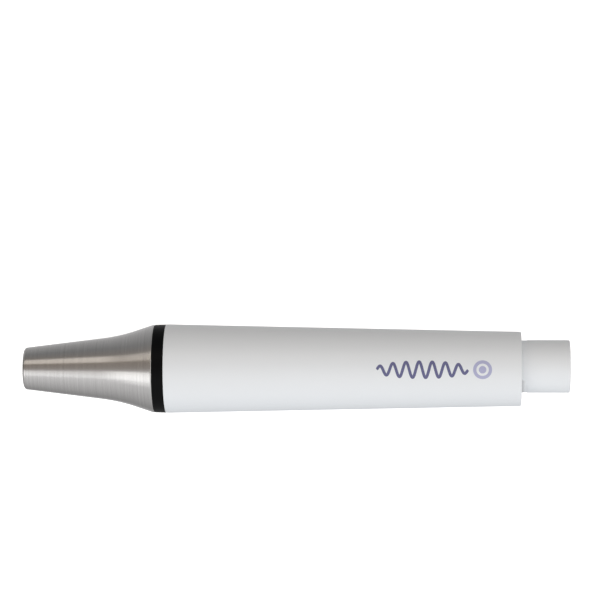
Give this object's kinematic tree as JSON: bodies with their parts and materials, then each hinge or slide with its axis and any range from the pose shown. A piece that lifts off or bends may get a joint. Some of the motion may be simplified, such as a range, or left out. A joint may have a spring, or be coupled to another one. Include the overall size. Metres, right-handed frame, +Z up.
{
  "type": "ultrasonic scaler handpiece",
  "caption": "White tapered handpiece of a piezo ultrasonic dental scaler with a steel nose cone, a black trim ring and a plug-in rear connector with water nipple and contacts.",
  "frame": {"origin": "the tip's seat at the root of the threaded tip stud, on the handle's axis", "axes": "+X along the handle's axis from the tip end to the rear connector, +Z up; the water nipple is on the underside of the connector"},
  "size_m": [0.1114, 0.018, 0.0181],
  "materials": {
    "turned_steel": "fine turned",
    "machined_steel": "machined",
    "black_ring": "satin",
    "black_elastomer": "matte",
    "white_plastic": "satin",
    "white_connector": "satin",
    "amber_insulator": "satin",
    "bronze": "machined",
    "dark_bronze": "tarnished",
    "titanium": "machined",
    "piezo_ceramic": "matte",
    "copper": "satin",
    "chrome": "polished",
    "silicone_hose": "satin",
    "wire_red": "satin",
    "wire_blue": "satin",
    "wire_black": "satin",
    "slate_print": "printed",
    "lavender_print": "printed"
  },
  "bodies": {
    "root": {"handle_shell": "white_plastic", "trim_ring": "black_ring", "thread_sleeve": "machined_steel", "transducer_sleeve": "amber_insulator", "clamp_ring": "bronze", "water_hose": "silicone_hose", "connector_body": "white_connector", "connector_gasket": "black_elastomer", "retaining_ring": "bronze", "water_nipple": "chrome", "nipple_seal": "black_elastomer", "contact_left": "dark_bronze", "contact_middle": "dark_bronze", "contact_right": "dark_bronze", "wire_left": "wire_red", "wire_middle": "wire_blue", "wire_right": "wire_black"},
    "nose_seal_body": {"nose_seal": "black_elastomer"},
    "nose": {"nose_cone": "turned_steel"},
    "transducer": {"horn": "titanium", "front_flange_seal": "black_elastomer", "rear_flange_seal": "black_elastomer", "piezo_ring_1": "piezo_ceramic", "piezo_ring_2": "piezo_ceramic", "piezo_ring_3": "piezo_ceramic", "piezo_ring_4": "piezo_ceramic", "electrode_1": "copper", "electrode_2": "copper", "electrode_3": "copper", "electrode_4": "copper", "electrode_5": "copper", "insulating_tube": "amber_insulator", "back_mass": "machined_steel", "centre_bolt": "machined_steel"}
  },
  "joints": [
    {"name": "nose_travel", "type": "slide", "parent": "root", "child": "nose_seal_body", "axis": [-1, 0, 0], "range_m": [0, 0.005]},
    {"name": "nose_turn", "type": "hinge", "parent": "nose_seal_body", "child": "nose", "pos_m": [0, 0, 0], "axis": [-1, 0, 0], "range_deg": [0, 1800]},
    {"name": "ultrasonic_stroke", "type": "slide", "parent": "root", "child": "transducer", "axis": [-1, 0, 0], "range_m": [-0.00005, 0.00005], "stiffness_N_per_m": 20000, "deforming": ["water_hose", "wire_left", "wire_middle", "wire_right"]}
  ],
  "couplings": [
    {"joint": "nose_turn", "follows": "nose_travel", "rad_per_m": 6283.2}
  ]
}
